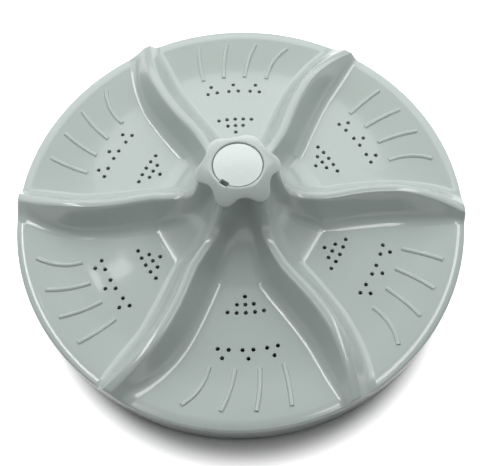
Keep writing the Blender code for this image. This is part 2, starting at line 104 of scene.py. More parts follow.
hub = {
    "capWell": 17.1,
    "capWellRound": 0.7,
    "capSeatDepth": 2.4,
    "seatFillet": 0.2,
    "seatEdge": 0.4,
    "screwWell": 13.5,
    "wellFillet": 0.8,
    "screwFloor": 32.0,
    "screwHole": 3.4,
    "holeEdge": 0.3,
    "pocketTop": 28.0,
    "pocketFlats": 20.6,
    "core": 16.2,
    "boss": 15.6,
    "bossEdge": 0.5,
    "bossBottom": 2.0,
}

# how many loops of points each stretch of the surface gets, and points across it
loops = {
    "star": 18,
    "column": 34,
    "columnFoot": 12,
    "crease": 11,
    "panel": 22,
    "dish": 14,
    "lip": 14,
    "edge": 8,
    "footEdge": 5,
    "wellEdge": 6,
    "underDish": 10,
    "underPanel": 12,
    "underColumn": 19,
    "acrossCrest": 14,
    "acrossFlute": 14,
    "acrossPanel": 22,
}

panelTop = disc["panelHeight"]
columnTop = panelTop + column["height"]
panelOuter = disc["rimRadius"] - disc["lipWidth"]
sectorAngle = 360.0 / disc["sectors"]


def polar(radius, bearing, height):
    angle = math.radians(-bearing)
    return Vector((radius * math.cos(angle), radius * math.sin(angle), height))


def blend(first, second, share):
    return first + (second - first) * share


def spread(first, last, count):
    return [blend(first, last, index / (count - 1)) for index in range(count)]


def throughValues(values, share):
    # smooth curve through evenly spread values
    place = min(max(share, 0.0), 1.0) * (len(values) - 1)
    index = min(int(place), len(values) - 2)
    t = place - index
    start, end = values[index], values[index + 1]
    before = values[index - 1] if index > 0 else 2 * start - end
    after = values[index + 2] if index + 2 < len(values) else 2 * end - start
    slopeIn, slopeOut = (end - before) / 2, (after - start) / 2
    return (start * (2 * t**3 - 3 * t**2 + 1) + slopeIn * (t**3 - 2 * t**2 + t)
            + end * (3 * t**2 - 2 * t**3) + slopeOut * (t**3 - t**2))


def bezierPoint(points, t):
    points = [Vector(point) for point in points]
    while len(points) > 1:
        points = [a.lerp(b, t) for a, b in zip(points, points[1:])]
    return points[0]


def offsetBezier(points, t, distance):
    along = bezierPoint(points, min(t + 0.001, 1.0)) - bezierPoint(points, max(t - 0.001, 0.0))
    along.normalize()
    return bezierPoint(points, t) + Vector((along.y, -along.x)) * distance


def flankHeight(step, left):
    # crest edge, straight flank, wide fillet, then the crease along the foot
    edge, fillet, crease = vane["edgeRound"], vane["filletStart"], vane["footCrease"]
    lean, top = vane["edgeLean"], 1.0 - vane["crestDrop"]
    power = vane["filletEase"] + 1
    slope = top / ((1 + lean) * edge / 2 + fillet - edge
                   + (left + (1 - left) / power) * (crease - fillet) + left * (1 - crease) / 2)
    if step < edge:
        return top - slope * (lean * step + (1 - lean) * step**2 / (2 * edge))
    if step < fillet:
        return top - slope * (step - (1 - lean) * edge / 2)
    atFillet = top - slope * (fillet - (1 - lean) * edge / 2)
    if step < crease:
        run = (step - fillet) / (crease - fillet)
        turned = (1 - (1 - run) ** power) / power
        return atFillet - slope * (crease - fillet) * (left * run + (1 - left) * turned)
    return slope * left * (1 - step) ** 2 / (2 * (1 - crease))


# shares of a flank's width where its points lie, closer where it turns
flankSteps = (0.0, 0.02, 0.04, 0.06, 0.08, 0.10, 0.12, 0.18, 0.26, 0.35, 0.44, 0.48, 0.52, 0.57, 0.62,
              0.67, 0.73, 0.79, 0.85, 0.89, 0.92, 0.93, 0.94, 0.95, 0.96, 0.97, 0.98, 0.99, 1.0)
insideSteps = (0.0, 0.12, 0.3, 0.5, 0.65, 0.8, 0.9, 1.0)


def starShare(local):
    # 1 on a lobe, 0 in the bay between two, with blunt shoulders
    turn = abs((local + sectorAngle / 2) % sectorAngle - sectorAngle / 2)
    tip, bay, here = (1 / (1 + math.exp((at - column["starLobe"]) / column["starBlunt"]))
                      for at in (0.0, sectorAngle / 2, turn))
    return (here - bay) / (tip - bay)


def sectorLoop(ridge, flute, crest, leading, trailing, inset=0.0, form=1.0, straight=0.0, between=0):
    # one sixth of a loop round the part, from a vane's leading foot to the next one's
    # a wall's inside is narrower by inset, and form 0 is the star, 1 the vanes
    narrowing = inset * math.tan(math.radians(sectorAngle / 2))
    halfCrest = math.degrees((vane["crestWidth"] / 2 - narrowing) / ridge[0])
    footShift = math.degrees(narrowing / flute[0])
    leadFoot, trailFoot = -leading + footShift, trailing - footShift
    steps = insideSteps if inset > 0 else flankSteps
    rise = max(ridge[1] - flute[1], 1.0)
    leads, trails = (
        min(vane["footSlope"] * math.radians(abs(foot - crest) - halfCrest) * ridge[0]
            / (vane["flankSlope"] * rise), vane["footLimit"])
        for foot in (leadFoot, trailFoot)
    )
    places = [(blend(crest - halfCrest, leadFoot, step), flankHeight(step, leads))
              for step in reversed(steps)]
    places += [(crest + halfCrest * share, 1.0 - vane["crestDrop"] * share**2)
               for share in spread(-1.0, 1.0, loops["acrossCrest"])[1:-1]]
    places += [(blend(crest + halfCrest, trailFoot, step), flankHeight(step, trails)) for step in steps]
    flank = len(places)
    gap = sectorAngle + leadFoot - trailFoot
    places += [(trailFoot + gap * (index + 1) / (between + 1), 0.0) for index in range(between)]
    places.append((sectorAngle + leadFoot, 0.0))
    middle = trailFoot + gap / 2
    points = []
    for bearing, height in places:
        share = blend(starShare(bearing - crest), height, form)
        fromMiddle = bearing - middle + (sectorAngle if bearing < crest else 0.0)
        inner = flute[0]
        if abs(fromMiddle) <= gap / 2 + 0.001:      # in the gap, the foot is a straight line
            chord = math.cos(math.radians(gap / 2)) / math.cos(math.radians(fromMiddle))
            inner *= blend(1.0, chord, straight)
        points.append(polar(blend(inner, ridge[0], share), bearing, blend(flute[1], ridge[1], share)))
    return {"points": points, "flank": flank, "between": between}


def creaseHeight(radius):
    # turns the flat panel up to the slope at which the flute starts
    foot, end = column["flute"][3][0], column["flute"][2]
    slope = end[1] / (foot - end[0])
    run = min(max(column["creaseFoot"] - radius, 0.0), column["creaseFoot"] - foot)
    return slope * run**2 / (2 * (column["creaseFoot"] - foot))


def columnLoop(t, inset=0.0):
    underStar = columnTop - column["tipDrop"] - column["starEdge"]
    ridge = [(r, underStar if z is None else panelTop + z) for r, z in column["ridge"]]
    flute = [(r, underStar if z is None else panelTop + z) for r, z in column["flute"]]
    valley = offsetBezier(flute, t, inset)
    valley.y += creaseHeight(valley.x)
    return sectorLoop(
        offsetBezier(ridge, t, inset), valley,
        throughValues((*column["ridgeBearings"], vane["crest"][0]), t),
        throughValues((*column["fluteLeading"], vane["leadingFoot"][0]), t),
        throughValues((*column["fluteTrailing"], vane["trailingFoot"][0]), t),
        inset=inset, form=min(1.0, 2.0 * t), straight=t, between=loops["acrossFlute"],
    )


def dishHeight(radius):
    # flat, a soft turn, then a straight cone up to the lip
    start, soft = disc["dishStart"], disc["dishBlend"]
    slope = disc["dishRise"] / (panelOuter - start)
    if radius <= start - soft:
        return 0.0
    if radius < start + soft:
        return slope * (radius - start + soft) ** 2 / (4 * soft)
    return slope * (min(radius, panelOuter) - start)


def lipHeight(run):
    # the cone's slope turns over into the crown, which falls gently outwards
    turn, crown = disc["lipTurn"], disc["lipWidth"] - disc["edgeRound"] - disc["lipTurn"]
    cone = disc["dishRise"] / (panelOuter - disc["dishStart"])
    first, last = disc["crownSlopes"]
    inTurn, onCrown = min(run, turn), max(run - turn, 0.0)
    return (cone * inTurn + (first - cone) * inTurn**2 / (2 * turn)
            + first * onCrown + (last - first) * onCrown**2 / (2 * crown))


def discLoop(radius, rise=0.0, inset=0.0, straight=0.0, between=loops["acrossPanel"], crestRise=0.0):
    share = (radius - column["panelInner"]) / (disc["rimRadius"] - column["panelInner"])
    fall = max(0.0, (share - vane["fallStart"]) / (1.0 - vane["fallStart"]))
    height = blend(vane["height"], vane["endHeight"], fall ** vane["fallPower"])
    base = panelTop - inset
    floorRise = rise + dishHeight(radius) + creaseHeight(radius)
    return sectorLoop(
        (radius, base + height + crestRise), (radius, base + floorRise),
        throughValues(vane["crest"], share),
        throughValues(vane["leadingFoot"], share),
        throughValues(vane["trailingFoot"], share),
        inset=inset, straight=straight, between=between,
    )


def levelLoop(radius, height, like, flats=None):
    # a flat loop with a point under each of like's, round or with six flats
    points = []
    for point in like["points"]:
        angle = math.atan2(point.y, point.x)
        reach = radius
        if flats:
            half = math.radians(sectorAngle / 2)
            local = (angle + half) % (2 * half) - half
            reach = flats / 2 / math.cos(half - abs(local))
        points.append(Vector((reach * math.cos(angle), reach * math.sin(angle), height)))
    return {**like, "points": points}


def roundedCorner(inner, outer, turnFirst, steps):
    # quarter ellipse from one (radius, height) to another
    corner = []
    for share in spread(0.0, 1.0, steps):
        angle = math.radians(90) * share
        a, b = math.sin(angle), 1 - math.cos(angle)
        if turnFirst:
            a, b = b, a
        corner.append((blend(inner[0], outer[0], a), blend(inner[1], outer[1], b)))
    return corner


def shoulderLoops():
    shoulder = []
    for share in spread(0.0, 1.0, loops["star"]):
        out = math.sin(math.radians(90) * share)
        down = blend(out, 1 - math.sqrt(max(0.0, 1 - out * out)), column["starDome"])
        tip, valley = (blend(column["landRadius"], column[name], out) for name in ("starTip", "starValley"))
        shoulder.append(sectorLoop(
            (tip, columnTop - column["tipDrop"] * down), (valley, columnTop - column["valleyDrop"] * down),
            column["ridgeBearings"][0], column["fluteLeading"][0], column["fluteTrailing"][0],
            form=0.0, between=loops["acrossFlute"],
        ))
    return shoulder


def wellProfile():
    # screw hole, screwdriver well and cap seat, from the bush's pocket up to the land
    seat, floor = columnTop - hub["capSeatDepth"], hub["screwFloor"]
    profile = [(hub["screwHole"], hub["pocketTop"]), (hub["screwHole"], floor - hub["holeEdge"]),
               (hub["screwHole"] + hub["holeEdge"], floor), (hub["screwWell"] - hub["wellFillet"], floor),
               (hub["screwWell"], floor + hub["wellFillet"]), (hub["screwWell"], seat - hub["seatEdge"]),
               (hub["screwWell"] + hub["seatEdge"], seat), (hub["capWell"] - hub["seatFillet"], seat),
               (hub["capWell"], seat + hub["seatFillet"])]
    return profile + roundedCorner((hub["capWell"], columnTop - hub["capWellRound"]),
                                   (hub["capWell"] + hub["capWellRound"], columnTop), True, loops["wellEdge"])


def outerLoops():
    # cap seat and screwdriver well, star, column, vanes and panels, lip, skirt
    star = shoulderLoops()
    outer = [levelLoop(0.0, hub["pocketTop"], star[0], flats=hub["pocketFlats"])]
    outer += [levelLoop(radius, height, star[0]) for radius, height in wellProfile()]
    outer += star
    downColumn = spread(0.0, 0.93, loops["column"]) + spread(0.94, 1.0, loops["columnFoot"])
    outer += [columnLoop(t) for t in downColumn]
    outer += [discLoop(radius, straight=1.0, between=loops["acrossFlute"])
              for radius in spread(column["panelInner"], column["creaseFoot"], loops["crease"])[1:]]
    flatEnd = disc["dishStart"] - disc["dishBlend"]
    outer += [discLoop(radius, between=0)
              for radius in spread(column["creaseFoot"], flatEnd, loops["panel"])[1:-1]]
    outer += [discLoop(radius) for radius in spread(flatEnd, panelOuter, loops["dish"])]
    edgeStart = disc["lipWidth"] - disc["edgeRound"]
    outer += [discLoop(panelOuter + run, lipHeight(run)) for run in spread(0.0, edgeStart, loops["lip"])[1:]]
    edge = roundedCorner((disc["rimRadius"] - disc["edgeRound"], 0.0),
                         (disc["rimRadius"], -disc["edgeRound"]), False, loops["edge"])[1:]
    outer += [discLoop(radius, lipHeight(edgeStart) + drop, crestRise=drop) for radius, drop in edge]
    foot, like = disc["footRound"], outer[-1]
    skirt = [(disc["rimRadius"], foot)]
    skirt += roundedCorner((disc["rimRadius"], foot), (disc["rimRadius"] - foot, 0.0), True,
                           loops["footEdge"])[1:]
    return outer + [levelLoop(radius, height, like) for radius, height in skirt]


def innerLoops():
    # underside, from the foot of the skirt in to the boss and the bush pocket
    wall, inside = disc["wall"], disc["rimRadius"] - disc["wall"]
    wallTop = discLoop(inside, inset=wall)
    inner = [levelLoop(inside + disc["footBreak"], 0.0, wallTop),
             levelLoop(inside, disc["footBreak"], wallTop), wallTop]
    flatEnd = disc["dishStart"] - disc["dishBlend"]
    inner += [discLoop(radius, inset=wall) for radius in spread(panelOuter, flatEnd, loops["underDish"])]
    inner += [discLoop(radius, inset=wall, between=0)
              for radius in spread(flatEnd, column["panelInner"], loops["underPanel"])[1:]]
    inner += [columnLoop(t, wall) for t in spread(1.0, column["underStart"], loops["underColumn"])]
    like = inner[-1]
    ceiling = min(point.z for point in like["points"])
    inner += [levelLoop(radius, height, like) for radius, height in (
        (hub["core"], ceiling), (hub["boss"], hub["bossBottom"] + hub["bossEdge"]),
        (hub["boss"] - hub["bossEdge"], hub["bossBottom"]))]
    inner += [levelLoop(0.0, height, like, flats=hub["pocketFlats"])
              for height in (hub["bossBottom"], hub["pocketTop"])]
    return inner


def addSkin(shape, skin):
    rows = [[shape.verts.new(point * mm) for point in loop["points"]] for loop in skin]
    for here, there, row, nextRow in zip(skin, skin[1:], rows, rows[1:]):
        full = here["between"] > 0 and there["between"] > 0
        columns = here["flank"] + here["between"] if full else here["flank"] - 1
        for place in range(columns):
            face = shape.faces.new((row[place], row[place + 1], nextRow[place + 1], nextRow[place]))
            face.smooth = True
    bare = [index for index, loop in enumerate(skin) if loop["between"] == 0]
    first, last = bare[0] - 1, bare[-1] + 1
    edge = rows[first][skin[first]["flank"] - 1:]
    edge += [rows[index][-1] for index in bare]
    edge += reversed(rows[last][skin[last]["flank"] - 1:])
    edge += [rows[index][skin[index]["flank"] - 1] for index in reversed(bare)]
    shape.faces.new(edge)              # the flat panel stays one face, shaded flat
    return rows


def stitchRows(shape, first, second):
    # joins two edges with unlike numbers of points, by their bearings
    def bearing(vert):
        return -math.degrees(math.atan2(vert.co.y, vert.co.x))
    a = b = 0
    while a < len(first) - 1 or b < len(second) - 1:
        nextA = bearing(first[a + 1]) if a < len(first) - 1 else math.inf
        nextB = bearing(second[b + 1]) if b < len(second) - 1 else math.inf
        if nextA <= nextB:
            face = shape.faces.new((first[a], first[a + 1], second[b]))
            a += 1
        else:
            face = shape.faces.new((first[a], second[b + 1], second[b]))
            b += 1
        face.smooth = True


def newGeometryTree(name, inputs):
    tree = bpy.data.node_groups.new(name, "GeometryNodeTree")
    tree.is_modifier = True
    tree.interface.new_socket("Geometry", in_out="INPUT", socket_type="NodeSocketGeometry")
    for label, kind, value in inputs:
        socket = tree.interface.new_socket(label, in_out="INPUT", socket_type=kind)
        if value is not None:
            socket.default_value = value
    tree.interface.new_socket("Geometry", in_out="OUTPUT", socket_type="NodeSocketGeometry")
    return tree, tree.nodes.new("NodeGroupInput"), tree.nodes.new("NodeGroupOutput")


def addTree(item, tree, values):
    modifier = item.modifiers.new(tree.name, "NODES")
    modifier.node_group = tree
    for socket in tree.interface.items_tree:
        if socket.in_out == "INPUT" and socket.name in values:
            modifier[socket.identifier] = values[socket.name]
    return modifier


def link(tree, source, output, target, socket):
    tree.links.new(source.outputs[output], target.inputs[socket])


def makePlain(item):
    # the modifiers' result becomes the object's own mesh
    bpy.context.view_layer.update()
    evaluated = item.evaluated_get(bpy.context.evaluated_depsgraph_get())
    mesh = bpy.data.meshes.new_from_object(evaluated)
    name, old = item.name, item
    plain = bpy.data.objects.new(name, mesh)
    bpy.context.scene.collection.objects.link(plain)
    bpy.data.objects.remove(old, do_unlink=True)
    plain.name = name
    mesh.name = name
    return plain


def cutAway(item, cutter):
    cut = item.modifiers.new("cut", "BOOLEAN")
    cut.operation = "DIFFERENCE"
    cut.solver = "EXACT"
    cut.object = cutter
    return makePlain(item)


def meshObject(name, shape):
    mesh = bpy.data.meshes.new(name)
    shape.to_mesh(mesh)
    shape.free()
    item = bpy.data.objects.new(name, mesh)
    bpy.context.scene.collection.objects.link(item)
    return item


def turnOutwards(item, sharpAngle):
    shape = bmesh.new()
    shape.from_mesh(item.data)
    bmesh.ops.remove_doubles(shape, verts=shape.verts, dist=weld / 2)
    bmesh.ops.recalc_face_normals(shape, faces=shape.faces)
    shape.to_mesh(item.data)
    shape.free()
    item.data.set_sharp_from_angle(angle=math.radians(sharpAngle))


def lathe(name, profile, steps):
    # turns a profile of (radius, height) in millimetres round Z
    shape = bmesh.new()
    verts = [shape.verts.new((radius * mm, 0.0, height * mm)) for radius, height in profile]
    edges = [shape.edges.new(pair) for pair in zip(verts, verts[1:])]
    bmesh.ops.spin(shape, geom=verts + edges, cent=(0, 0, 0), axis=(0, 0, 1),
                   angle=math.radians(360), steps=steps, use_merge=True)
    bmesh.ops.remove_doubles(shape, verts=shape.verts, dist=weld)
    bmesh.ops.recalc_face_normals(shape, faces=shape.faces)
    for face in shape.faces:
        face.smooth = True
    return meshObject(name, shape)


def sectorTurnTree():
    # evenly turned copies round Z, sewn together where they meet
    tree, given, result = newGeometryTree("turnSector", [
        ("Count", "NodeSocketInt", disc["sectors"]),
        ("Merge Distance", "NodeSocketFloat", weld),
        ("Material", "NodeSocketMaterial", None),
    ])
    nodes = tree.nodes
    whole = nodes.new("GeometryNodeGeometryToInstance")
    copies = nodes.new("GeometryNodeDuplicateElements")
    copies.domain = "INSTANCE"
    step = nodes.new("ShaderNodeMath")
    step.operation = "DIVIDE"
    step.inputs[0].default_value = math.tau
    angle = nodes.new("ShaderNodeMath")
    angle.operation = "MULTIPLY"
    turn = nodes.new("ShaderNodeCombineXYZ")
    rotate = nodes.new("GeometryNodeRotateInstances")
    rotate.inputs["Local Space"].default_value = False
    realize = nodes.new("GeometryNodeRealizeInstances")
    merge = nodes.new("GeometryNodeMergeByDistance")
    paint = nodes.new("GeometryNodeSetMaterial")
    link(tree, given, "Geometry", whole, "Geometry")
    link(tree, whole, "Instances", copies, "Geometry")
    link(tree, given, "Count", copies, "Amount")
    link(tree, given, "Count", step, 1)
    link(tree, step, 0, angle, 0)
    link(tree, copies, "Duplicate Index", angle, 1)
    link(tree, angle, 0, turn, "Z")
    link(tree, copies, "Geometry", rotate, "Instances")
    link(tree, turn, "Vector", rotate, "Rotation")
    link(tree, rotate, "Instances", realize, "Geometry")
    link(tree, realize, "Geometry", merge, "Geometry")
    link(tree, given, "Merge Distance", merge, "Distance")
    link(tree, merge, "Geometry", paint, "Geometry")
    link(tree, given, "Material", paint, "Material")
    link(tree, paint, "Geometry", result, "Geometry")
    return tree


def perforationTree():
    # the cutter, once on each point
    tree, given, result = newGeometryTree("perforations", [
        ("Cutter", "NodeSocketObject", None),
        ("Material", "NodeSocketMaterial", None),
    ])
    nodes = tree.nodes
    cutter = nodes.new("GeometryNodeObjectInfo")
    place = nodes.new("GeometryNodeInstanceOnPoints")
    realize = nodes.new("GeometryNodeRealizeInstances")
    paint = nodes.new("GeometryNodeSetMaterial")
    link(tree, given, "Cutter", cutter, "Object")
    link(tree, given, "Geometry", place, "Points")
    link(tree, cutter, "Geometry", place, "Instance")
    link(tree, place, "Instances", realize, "Geometry")
    link(tree, realize, "Geometry", paint, "Geometry")
    link(tree, given, "Material", paint, "Material")
    link(tree, paint, "Geometry", result, "Geometry")
    return tree


def beadTree():
    # a round bead along each spline, drawn in to a dome at both ends
    tree, given, result = newGeometryTree("raisedBeads", [
        ("Radius", "NodeSocketFloat", 1.0 * mm),
        ("Spacing", "NodeSocketFloat", 0.5 * mm),
        ("Sides", "NodeSocketInt", 14),
        ("Material", "NodeSocketMaterial", None),
    ])
    nodes = tree.nodes
    resample = nodes.new("GeometryNodeResampleCurve")
    resample.mode = "LENGTH"
    along = nodes.new("GeometryNodeSplineParameter")
    total = nodes.new("GeometryNodeSplineLength")
    rest = nodes.new("ShaderNodeMath")
    rest.operation = "SUBTRACT"
    nearest = nodes.new("ShaderNodeMath")
    nearest.operation = "MINIMUM"
    share = nodes.new("ShaderNodeMath")
    share.operation = "DIVIDE"
    share.use_clamp = True
    away = nodes.new("ShaderNodeMath")
    away.operation = "SUBTRACT"
    away.inputs[0].default_value = 1.0
    square = nodes.new("ShaderNodeMath")
    square.operation = "MULTIPLY"
    left = nodes.new("ShaderNodeMath")
    left.operation = "SUBTRACT"
    left.inputs[0].default_value = 1.02      # a little over 1, so that the ends don't close to a point
    dome = nodes.new("ShaderNodeMath")
    dome.operation = "SQRT"
    thick = nodes.new("GeometryNodeSetCurveRadius")
    profile = nodes.new("GeometryNodeCurvePrimitiveCircle")
    sweep = nodes.new("GeometryNodeCurveToMesh")
    sweep.inputs["Fill Caps"].default_value = True
    smooth = nodes.new("GeometryNodeSetShadeSmooth")
    paint = nodes.new("GeometryNodeSetMaterial")
    link(tree, given, "Geometry", resample, "Curve")
    link(tree, given, "Spacing", resample, "Length")
    link(tree, total, "Length", rest, 0)
    link(tree, along, "Length", rest, 1)
    link(tree, along, "Length", nearest, 0)
    link(tree, rest, 0, nearest, 1)
    link(tree, nearest, 0, share, 0)
    link(tree, given, "Radius", share, 1)
    link(tree, share, 0, away, 1)
    link(tree, away, 0, square, 0)
    link(tree, away, 0, square, 1)
    link(tree, square, 0, left, 1)
    link(tree, left, 0, dome, 0)
    link(tree, resample, "Curve", thick, "Curve")
    link(tree, dome, 0, thick, "Radius")
    link(tree, given, "Radius", profile, "Radius")
    link(tree, given, "Sides", profile, "Resolution")
    link(tree, thick, "Curve", sweep, "Curve")
    link(tree, profile, "Curve", sweep, "Profile Curve")
    link(tree, sweep, "Mesh", smooth, "Geometry")
    link(tree, smooth, "Geometry", paint, "Geometry")
    link(tree, given, "Material", paint, "Material")
    link(tree, paint, "Geometry", result, "Geometry")
    return tree


# Finishes

def mouldedSurfaceGroup():
    # slow colour drift, gloss that varies, and the slight waves of a moulded skin
    group = bpy.data.node_groups.new("mouldedSurface", "ShaderNodeTree")
    for label, kind, value in (
        ("Colour", "NodeSocketColor", (0.5, 0.5, 0.5, 1.0)),
        ("Drift Colour", "NodeSocketColor", (0.45, 0.45, 0.45, 1.0)),
        ("Gloss", "NodeSocketFloat", 0.2),
        ("Gloss Change", "NodeSocketFloat", 0.1),
        ("Wave Size", "NodeSocketFloat", 40.0),
        ("Wave Height", "NodeSocketFloat", 0.0002),
        ("Grain Size", "NodeSocketFloat", 900.0),
        ("Grain Height", "NodeSocketFloat", 0.000006),
    ):
        group.interface.new_socket(label, in_out="INPUT", socket_type=kind).default_value = value
    group.interface.new_socket("Colour", in_out="OUTPUT", socket_type="NodeSocketColor")
    group.interface.new_socket("Roughness", in_out="OUTPUT", socket_type="NodeSocketFloat")
    group.interface.new_socket("Normal", in_out="OUTPUT", socket_type="NodeSocketVector")
    nodes = group.nodes
    given, result = nodes.new("NodeGroupInput"), nodes.new("NodeGroupOutput")
    place = nodes.new("ShaderNodeTexCoord")
    drift, smears, waves, grain = (nodes.new("ShaderNodeTexNoise") for _ in range(4))
    for texture, detail in ((drift, 3.0), (smears, 5.0), (waves, 1.0), (grain, 2.0)):
        texture.inputs["Detail"].default_value = detail
        link(group, place, "Object", texture, "Vector")
    drift.inputs["Scale"].default_value = 22.0
    smears.inputs["Scale"].default_value = 60.0
    mix = nodes.new("ShaderNodeMix")
    mix.data_type = "RGBA"
    change = nodes.new("ShaderNodeMath")
    change.operation = "MULTIPLY_ADD"
    waveBump = nodes.new("ShaderNodeBump")
    grainBump = nodes.new("ShaderNodeBump")
    link(group, given, "Wave Size", waves, "Scale")
    link(group, given, "Grain Size", grain, "Scale")
    link(group, drift, "Fac", mix, "Factor")
    group.links.new(given.outputs["Colour"], mix.inputs[6])
    group.links.new(given.outputs["Drift Colour"], mix.inputs[7])
    group.links.new(mix.outputs[2], result.inputs["Colour"])
    link(group, smears, "Fac", change, 0)
    link(group, given, "Gloss Change", change, 1)
    link(group, given, "Gloss", change, 2)
    link(group, change, 0, result, "Roughness")
    link(group, waves, "Fac", waveBump, "Height")
    link(group, given, "Wave Height", waveBump, "Distance")
    link(group, grain, "Fac", grainBump, "Height")
    link(group, given, "Grain Height", grainBump, "Distance")
    link(group, waveBump, "Normal", grainBump, "Normal")
    link(group, grainBump, "Normal", result, "Normal")
    return group


def finish(name, group, values, **shader):
    material = bpy.data.materials.new(name)
    material.use_nodes = True
    nodes, links = material.node_tree.nodes, material.node_tree.links
    principled = nodes["Principled BSDF"]
    surface = nodes.new("ShaderNodeGroup")
    surface.node_tree = group
    for label, value in values.items():
        surface.inputs[label].default_value = value
    links.new(surface.outputs["Colour"], principled.inputs["Base Color"])
    links.new(surface.outputs["Roughness"], principled.inputs["Roughness"])
    links.new(surface.outputs["Normal"], principled.inputs["Normal"])
    for label, value in shader.items():
        principled.inputs[label.replace("_", " ")].default_value = value
    return material


mouldedSurface = mouldedSurfaceGroup()
palePlastic = finish("palePlastic", mouldedSurface, {
    "Colour": (0.53, 0.60, 0.57, 1.0), "Drift Colour": (0.50, 0.57, 0.545, 1.0),
    "Gloss": 0.16, "Gloss Change": 0.10,
    "Wave Size": 45.0, "Wave Height": 0.00007, "Grain Size": 700.0, "Grain Height": 0.000004,
}, IOR=1.46, Coat_Weight=0.55, Coat_Roughness=0.06)
capPlastic = finish("capPlastic", mouldedSurface, {
    "Colour": (0.76, 0.84, 0.815, 1.0), "Drift Colour": (0.74, 0.82, 0.795, 1.0),
    "Gloss": 0.24, "Gloss Change": 0.06,
    "Wave Size": 120.0, "Wave Height": 0.00004, "Grain Size": 900.0, "Grain Height": 0.000003,
}, IOR=1.49)
brass = finish("broachedBrass", mouldedSurface, {
    "Colour": (0.72, 0.53, 0.27, 1.0), "Drift Colour": (0.60, 0.42, 0.20, 1.0),
    "Gloss": 0.22, "Gloss Change": 0.25,
    "Wave Size": 300.0, "Wave Height": 0.00001, "Grain Size": 2500.0, "Grain Height": 0.000004,
}, Metallic=1.0)

# Body: one sixth is lofted, then turned round the shaft

bodySharp = 40                # edges that turn by more than this are shaded sharp
sectorTurn = sectorTurnTree()
sector = bmesh.new()
outerRows = addSkin(sector, outerLoops()[1:])
innerRows = addSkin(sector, innerLoops())
stitchRows(sector, outerRows[-1], innerRows[0])       # foot of the skirt
stitchRows(sector, outerRows[0], innerRows[-1])       # ceiling of the bush pocket
body = meshObject("pulsator", sector)
addTree(body, sectorTurn, {"Count": disc["sectors"], "Material": palePlastic})
body = makePlain(body)
turnOutwards(body, bodySharp)
print("body lofted:", len(body.data.polygons), "faces")

# Water holes, each with a slightly broken edge

holes = {
    "radius": 1.4,
    "edgeBreak": 0.18,
    "cut": 1.5,               # how deep the cutter reaches, in wall thicknesses
    "sides": 20,
    "rows": (                 # radius, then bearings from the panel's middle
        (68.1, (0.0,)),
        (74.1, (-4.55, 0.0, 4.55)),
        (80.1, (-9.1, -4.55, 0.0, 4.55, 9.1)),
        (106.7, (-11.02, -7.02, -2.0, 2.0, 7.02, 11.02)),
        (112.8, (-9.02, 0.0, 9.02)),
    ),
}

cutter = lathe("holeCutter", [
    (0.0, -holes["cut"] * disc["wall"]), (holes["radius"], -holes["cut"] * disc["wall"]),
    (holes["radius"], -holes["edgeBreak"]), (holes["radius"] + holes["edgeBreak"], 0.0),
    (holes["radius"] + 2 * holes["edgeBreak"], holes["edgeBreak"]), (0.0, holes["edgeBreak"]),
], holes["sides"])
holePoints = bmesh.new()
for sectorIndex in range(disc["sectors"]):
    for radius, bearings in holes["rows"]:
        for bearing in bearings:
            place = polar(radius, (sectorIndex + 0.5) * sectorAngle + bearing, panelTop)
            holePoints.verts.new(place * mm)
waterHoles = meshObject("waterHoles", holePoints)
addTree(waterHoles, perforationTree(), {"Cutter": cutter, "Material": palePlastic})
waterHoles = makePlain(waterHoles)
body = cutAway(body, waterHoles)
for item in (cutter, waterHoles):
    bpy.data.objects.remove(item, do_unlink=True)
body.data.set_sharp_from_angle(angle=math.radians(bodySharp))
print("holes cut:", len(body.data.polygons), "faces")

# Bead ribs on the panels

beads = {
    "radius": 1.8,
    "spacing": 0.5,           # between the sections along a bead
    "rise": -0.55,            # the bead's middle above the panel
    "start": 120.0,
    "end": 149.5,
    "points": 17,
    "sharpFrom": 60,
    # a panel's four beads: first and last bearing from its middle, and bow to the side
    "lines": ((-11.3, -10.2, -0.7), (-3.45, -1.25, -1.0), (4.5, 7.6, -1.3), (12.8, 17.6, -3.3)),
}

beadCurve = bpy.data.curves.new("beads", "CURVE")
beadCurve.dimensions = "3D"
for sectorIndex in range(disc["sectors"]):
    middle = (sectorIndex + 0.5) * sectorAngle
    for startBearing, endBearing, bow in beads["lines"]:
        first = polar(beads["start"], middle + startBearing, panelTop + beads["rise"])
        last = polar(beads["end"], middle + endBearing, panelTop + beads["rise"])
        side = (last - first).cross(Vector((0.0, 0.0, 1.0))).normalized()
        spline = beadCurve.splines.new("POLY")
        spline.points.add(beads["points"] - 1)
        for index, point in enumerate(spline.points):
            share = index / (beads["points"] - 1)
            place = first.lerp(last, share) + side * bow * 4 * share * (1 - share)
            place.z += dishHeight(place.xy.length)
            point.co = (*(place * mm), 1.0)
beadRibs = bpy.data.objects.new("beadRibs", beadCurve)
bpy.context.scene.collection.objects.link(beadRibs)
addTree(beadRibs, beadTree(), {
    "Radius": beads["radius"] * mm, "Spacing": beads["spacing"] * mm, "Material": palePlastic})
beadRibs = makePlain(beadRibs)
turnOutwards(beadRibs, beads["sharpFrom"])
print("beads laid:", len(beadRibs.data.polygons), "faces")

# Ribbing under the disc

ribs = {
    "thickness": 2.2,
    "edgeRound": 0.4,
    "ringRadius": 63.0,
    "ringDepth": 12.0,
    "ringSteps": 160,
    "bladeBearings": (16.0, 44.0),
    "bladeDepth": 14.5,
    "bladeGap": 0.3,          # a blade ends this much below the other ribs' tops
    "bladeStart": 0.5,        # and starts this far inside the ring's middle
    "webDepth": 13.0,
    "reach": 1.2,             # how far a rib runs up into the wall
    "bite": 1.0,              # and sideways into the skirt or the core
    "pointsAlong": (9, 14),   # on a blade's and a web's upper edge
    "roundFrom": 50,          # edges that turn by more are rounded
    "sharpFrom": 40,
}


